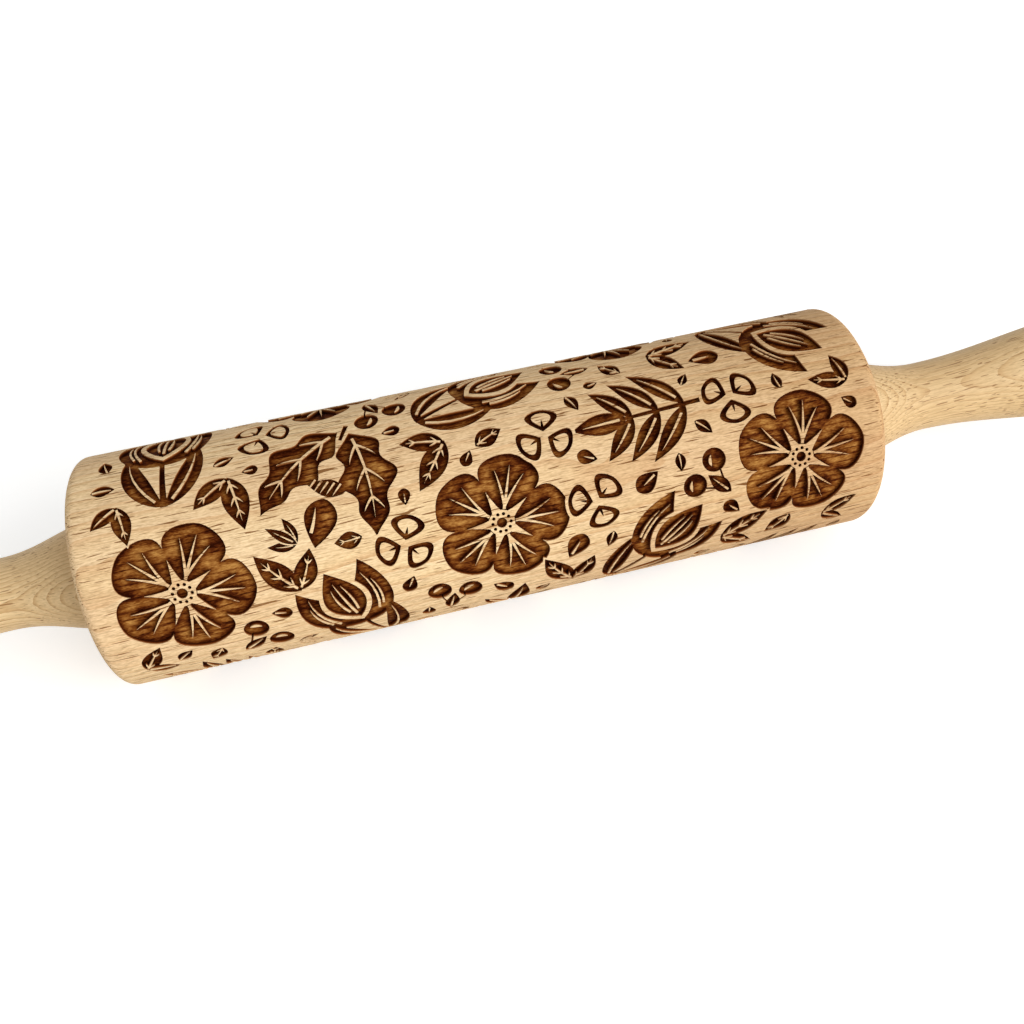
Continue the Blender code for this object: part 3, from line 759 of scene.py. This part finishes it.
# nylon, moulded and left natural: milky off-white, faintly clouded, with the soft shine of the mould
nylon = bpy.data.materials.new("nylon_natural_moulded")
nylon.use_nodes = True
nylon_place = add_node(nylon.node_tree, "TexCoord", {}).outputs["Object"]
nylon_cloud = add_node(
    nylon.node_tree, "TexNoise", {"Vector": nylon_place, "Scale": 1 / (6 * MM), "Detail": 3.0}
).outputs["Fac"]
nylon_colour = add_node(
    nylon.node_tree, "ValToRGB", {"Fac": nylon_cloud}, stops=((0.3, "#DAD6C6"), (0.7, "#ECE9DE"))
).outputs[0]
nylon_shader = nylon.node_tree.nodes["Principled BSDF"]
nylon.node_tree.links.new(nylon_colour, nylon_shader.inputs["Base Color"])
nylon_shader.inputs["Roughness"].default_value = 0.45
nylon_shader.inputs["IOR"].default_value = 1.53
for side, end in ((-1, "left"), (1, "right")):
    bush_bm = mirrored(turned(bush_profile, TURNING_STEPS), side)
    bush = finished(
        "flanged_bush_" + end, bush_bm, FITTING_SHARP_DEGREES, "barrel", "bush_nylon", "bush_" + end
    )
    bush.data.materials.append(nylon)

# The axle: 8 mm bright drawn steel rod with its ends chamfered, screwed into both handles.
# It runs through the barrel, and the bushes turn on it.
AXLE_CHAMFER = 0.001
axle_profile = (
    (axle_high.x, 0),
    (axle_high.x, AXLE_RADIUS - AXLE_CHAMFER),
    (axle_high.x - AXLE_CHAMFER, AXLE_RADIUS),
    (axle_low.x + AXLE_CHAMFER, AXLE_RADIUS),
    (axle_low.x, AXLE_RADIUS - AXLE_CHAMFER),
    (axle_low.x, 0),
)
axle_bm = turned(axle_profile, TURNING_STEPS)
drawn_axle = finished("drawn_axle", axle_bm, FITTING_SHARP_DEGREES, "handles", "axle_steel", "axle")


def plain_metal(name, dark, light, roughness, line_length, line_width):
    """Bright metal with tool lines or clouding of this length along the axle and this width across it.
    Real tool lines are finer than 0.1 mm; these are drawn coarser, so that they show."""
    metal = bpy.data.materials.new(name)
    metal.use_nodes = True
    tree = metal.node_tree
    where = add_node(tree, "TexCoord", {}).outputs["Object"]
    lines = streaks_along_axle(tree, where, line_length, line_width, 3.0)
    colour = add_node(tree, "ValToRGB", {"Fac": lines}, stops=((0.3, dark), (0.7, light))).outputs[0]
    metal_shader = tree.nodes["Principled BSDF"]
    tree.links.new(colour, metal_shader.inputs["Base Color"])
    rough = add_node(
        tree, "MapRange", {"Value": lines, "To Min": roughness - 0.06, "To Max": roughness + 0.08}
    ).outputs[0]
    tree.links.new(rough, metal_shader.inputs["Roughness"])
    metal_shader.inputs["Metallic"].default_value = 1.0
    bump = add_node(tree, "Bump", {"Height": lines, "Distance": 0.01 * MM, "Strength": 0.4}).outputs[0]
    tree.links.new(bump, metal_shader.inputs["Normal"])
    return metal


# mild steel, cold drawn: bright grey, with long lines along the bar
drawn_steel = plain_metal("steel_bright_drawn", "#B4B3AF", "#D2D1CD", 0.30, 12 * MM, 0.3 * MM)
drawn_axle.data.materials.append(drawn_steel)

# The washers: punched steel, zinc plated, one between each bush's flange and its handle.
# They keep the handle's end grain from wearing on the nylon.
washer_radius = washer_high.z
washer_profile = (
    (washer_low.x, running_radius),
    (washer_low.x, washer_radius - EDGE_BREAK),
    (washer_low.x + EDGE_BREAK, washer_radius),
    (washer_high.x - EDGE_BREAK, washer_radius),
    (washer_high.x, washer_radius - EDGE_BREAK),
    (washer_high.x, running_radius),
)
# mild steel, zinc plated: paler than the bar, and softly clouded by the plating
zinc = plain_metal("steel_zinc_plated", "#BFC2C4", "#DADCDC", 0.36, 1.5 * MM, 0.8 * MM)
for side, end in ((-1, "left"), (1, "right")):
    washer_bm = mirrored(turned(washer_profile[::-1], TURNING_STEPS), side)
    washer = finished(
        "zinc_washer_" + end, washer_bm, FITTING_SHARP_DEGREES, "handles", "washer_steel", "washer_" + end
    )
    washer.data.materials.append(zinc)

# The threaded inserts: brass sleeves screwed flush into the handles' bores, which take the axle.
# Their outside is cut with a coarse wood thread, drawn here as close rings.
insert_low, insert_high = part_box("insert_right")
INSERT_RINGS = 8
THREAD_DEPTH = 0.0005
# where a ring's crest ends, and where its root starts and ends, as shares of the gap between rings
CREST_END, ROOT_START, ROOT_END = 0.35, 0.60, 0.75
insert_radius = insert_high.z
ring_gap = (insert_high.x - insert_low.x) / INSERT_RINGS
insert_profile = [(insert_low.x, running_radius), (insert_low.x, insert_radius)]
for k in range(INSERT_RINGS):
    start = insert_low.x + k * ring_gap
    insert_profile += [
        (start + ring_gap * CREST_END, insert_radius),
        (start + ring_gap * ROOT_START, insert_radius - THREAD_DEPTH),
        (start + ring_gap * ROOT_END, insert_radius - THREAD_DEPTH),
    ]
insert_profile += [(insert_high.x, insert_radius - THREAD_DEPTH), (insert_high.x, running_radius)]
# brass, turned: warm yellow, with fine lines round it
brass = plain_metal("brass_turned", "#B98E3E", "#DDBA6B", 0.32, 0.3 * MM, 2 * MM)
for side, end in ((-1, "left"), (1, "right")):
    insert_bm = mirrored(turned(insert_profile, TURNING_STEPS), side)
    sleeve = finished(
        "threaded_insert_" + end, insert_bm, FITTING_SHARP_DEGREES, "handles", "insert_brass", "insert_" + end
    )
    sleeve.data.materials.append(brass)

# The handles: each turned from one piece of beech, flared where it meets the barrel, drawn in to a
# neck for the fingers, and swelling to a grip with a domed end and the small flat left by the lathe.
handle_low, handle_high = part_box("handle_right")
HANDLE_STEPS = 112
HANDLE_SHARP_DEGREES = 40
CHAMFER_STEPS, FLARE_STEPS, SWELL_STEPS, DOME_STEPS = 3, 18, 24, 18
BASE_RADIUS = 0.014
NECK_RADIUS = 0.0094
GRIP_RADIUS = handle_high.z
END_FLAT_RADIUS = 0.004
NECK_AT = 0.023
GRIP_AT = 0.0765
BASE_CHAMFER = 0.0006
FLARE_EASE = 0.8
AXLE_IN_HANDLE = 0.045
INSERT_LENGTH = insert_high.x - insert_low.x
handle_length = handle_high.x - handle_low.x
handle_profile = [
    (AXLE_IN_HANDLE + SEAT_GAP, 0),
    (AXLE_IN_HANDLE + SEAT_GAP, running_radius),
    (INSERT_LENGTH + SEAT_GAP, running_radius),
    (INSERT_LENGTH + SEAT_GAP, insert_radius + SEAT_GAP),
    (0, insert_radius + SEAT_GAP),
]
for k in range(CHAMFER_STEPS + 1):
    turn = math.pi / 2 * k / CHAMFER_STEPS
    handle_profile.append(
        (BASE_CHAMFER * (1 - math.cos(turn)), BASE_RADIUS - BASE_CHAMFER * (1 - math.sin(turn)))
    )
for k in range(1, FLARE_STEPS + 1):
    share = k / FLARE_STEPS
    ease = (1 + math.cos(math.pi * share**FLARE_EASE)) / 2
    along = BASE_CHAMFER + (NECK_AT - BASE_CHAMFER) * share
    handle_profile.append((along, NECK_RADIUS + (BASE_RADIUS - NECK_RADIUS) * ease))
for k in range(1, SWELL_STEPS + 1):
    share = k / SWELL_STEPS
    ease = (1 - math.cos(math.pi * share)) / 2
    along = NECK_AT + (GRIP_AT - NECK_AT) * share
    handle_profile.append((along, NECK_RADIUS + (GRIP_RADIUS - NECK_RADIUS) * ease))
last_turn = math.acos(END_FLAT_RADIUS / GRIP_RADIUS)
for k in range(1, DOME_STEPS + 1):
    turn = last_turn * k / DOME_STEPS
    rise = math.sin(turn) / math.sin(last_turn)
    handle_profile.append((GRIP_AT + (handle_length - GRIP_AT) * rise, GRIP_RADIUS * math.cos(turn)))
handle_profile.append((handle_length, 0))
placed = [(handle_low.x + along, radius) for along, radius in handle_profile]
# each handle's pith lies elsewhere and its grain leans the other way, so that the two aren't alike
for side, end in ((-1, "left"), (1, "right")):
    handle_bm = mirrored(turned(placed, HANDLE_STEPS), side)
    handle = finished(
        "turned_handle_" + end, handle_bm, HANDLE_SHARP_DEGREES, "handles", "handle_wood", "handle_" + end
    )
    material = beech_wood(
        "beech_handle_turned_" + end,
        pith=(0.0, 0.030, -0.021 - 0.006 * side),
        grain_turn=(0.0, math.radians(1.8), math.radians(-1.4 * side)),
        ring_gap=0.9 * MM,
        colours=("#E5C99B", "#DDBE8E", "#C19B6A", "#D0AF80"),
        figure=(0.34 * MM, 0.65, 0.16, 0.12),
        roughness=0.5,
    )[0]
    handle.data.materials.append(material)

# The floor: a plain white sheet under the barrel, which keeps the pin's shadow.
# Seen by the camera it is a touch brighter than it is lit, and more so farther off, so that it reads
# as white and its edge doesn't show.
FLOOR_SIZE = 6.0
floor_bm = bmesh.new()
bmesh.ops.create_grid(floor_bm, x_segments=2, y_segments=2, size=FLOOR_SIZE / 2)
bmesh.ops.translate(floor_bm, vec=(0, 0, -BARREL_RADIUS), verts=floor_bm.verts)
floor_mesh = bpy.data.meshes.new("floor")
floor_bm.to_mesh(floor_mesh)
floor_bm.free()
floor = bpy.data.objects.new("floor", floor_mesh)
bpy.context.collection.objects.link(floor)
paper = bpy.data.materials.new("white_paper")
paper.use_nodes = True
paper_tree = paper.node_tree
paper_shader = paper_tree.nodes["Principled BSDF"]
paper_shader.inputs["Base Color"].default_value = linear("#F2F2F0")
paper_shader.inputs["Roughness"].default_value = 0.9
paper_shader.inputs["Specular IOR Level"].default_value = 0.1


def seen_directly(tree):
    """1 for what the camera sees itself or in a mirror or glass, and 0 for what lights the object."""
    rays = add_node(tree, "LightPath", {}).outputs
    seen = add_node(
        tree, "Math", {0: rays["Is Camera Ray"], 1: rays["Is Glossy Ray"]}, operation="ADD"
    ).outputs[0]
    return add_node(
        tree, "Math", {0: seen, 1: rays["Is Transmission Ray"]}, operation="ADD", use_clamp=True
    ).outputs[0]


floor_place = add_node(paper_tree, "TexCoord", {}).outputs["Object"]
floor_reach = add_node(paper_tree, "VectorMath", {0: floor_place}, operation="LENGTH").outputs["Value"]
brighter = add_node(
    paper_tree,
    "MapRange",
    {"Value": floor_reach, "From Min": 0.5, "From Max": 2.2, "To Min": 0.42, "To Max": 1.0},
).outputs[0]
seen_floor = seen_directly(paper_tree)
lift = add_node(paper_tree, "Math", {0: seen_floor, 1: brighter}, operation="MULTIPLY").outputs[0]
paper_tree.links.new(lift, paper_shader.inputs["Emission Strength"])
paper_shader.inputs["Emission Color"].default_value = (1, 1, 1, 1)
floor_mesh.materials.append(paper)

# Soft studio light: a pale surround, a wide lamp at the front right, and weaker ones at the left and
# behind. The surround is seen as white and lights the pin less.
world = bpy.data.worlds.new("studio")
bpy.context.scene.world = world
world.use_nodes = True
world.node_tree.nodes["Background"].inputs["Color"].default_value = (1, 1, 1, 1)
SURROUND = 0.45
seen_world = seen_directly(world.node_tree)
surround = add_node(
    world.node_tree, "Math", {0: seen_world, 1: 1 - SURROUND, 2: SURROUND}, operation="MULTIPLY_ADD"
).outputs[0]
world.node_tree.links.new(surround, world.node_tree.nodes["Background"].inputs["Strength"])
# each lamp's name, place, size and power
LAMPS = (
    ("key", (1.35, -1.55, 0.90), 1.3, 46),
    ("fill", (-0.55, -0.60, 0.55), 0.6, 0.7),
    ("back", (-0.50, 1.30, 0.80), 1.0, 2.5),
)
for name, at, size, power in LAMPS:
    lamp = bpy.data.lights.new(name, "AREA")
    lamp.size = size
    lamp.energy = power
    holder = bpy.data.objects.new(name, lamp)
    holder.location = at
    holder.rotation_euler = (-Vector(at)).to_track_quat("-Z", "Y").to_euler()
    bpy.context.collection.objects.link(holder)

# The camera stands close over the pin, a little left of its middle and turned so that the pin rises
# to the right. Its place and lens come from the barrel's outline in the photograph. Angles are in
# radians.
CAMERA_ALONG = -0.02176
CAMERA_DISTANCE = 0.2647
CAMERA_YAW = 0.1041
CAMERA_PITCH = -0.0274
CAMERA_ROLL = -0.2140
CAMERA_RISE = math.radians(42)
LENS_PIXELS = 985.2
PICTURE_PIXELS = 1024
forward = Vector((math.sin(CAMERA_YAW), math.cos(CAMERA_YAW), 0))
right = Vector((math.cos(CAMERA_YAW), -math.sin(CAMERA_YAW), 0))
up = Vector((0, 0, 1))
forward, up = (
    forward * math.cos(CAMERA_PITCH) + up * math.sin(CAMERA_PITCH),
    up * math.cos(CAMERA_PITCH) - forward * math.sin(CAMERA_PITCH),
)
right, up = (
    right * math.cos(CAMERA_ROLL) + up * math.sin(CAMERA_ROLL),
    up * math.cos(CAMERA_ROLL) - right * math.sin(CAMERA_ROLL),
)
rise = Matrix.Rotation(-CAMERA_RISE, 3, "X")
lens = bpy.data.cameras.new("camera")
lens.sensor_fit = "HORIZONTAL"
lens.lens = lens.sensor_width * LENS_PIXELS / PICTURE_PIXELS
lens.clip_start = 0.01
camera = bpy.data.objects.new("camera", lens)
axes = Matrix((rise @ right, rise @ up, -(rise @ forward))).transposed()
stand = rise @ Vector((CAMERA_ALONG, -CAMERA_DISTANCE, 0))
camera.matrix_world = Matrix.Translation(stand) @ axes.to_4x4()
bpy.context.collection.objects.link(camera)
bpy.context.scene.camera = camera
bpy.context.scene.view_settings.view_transform = "Standard"
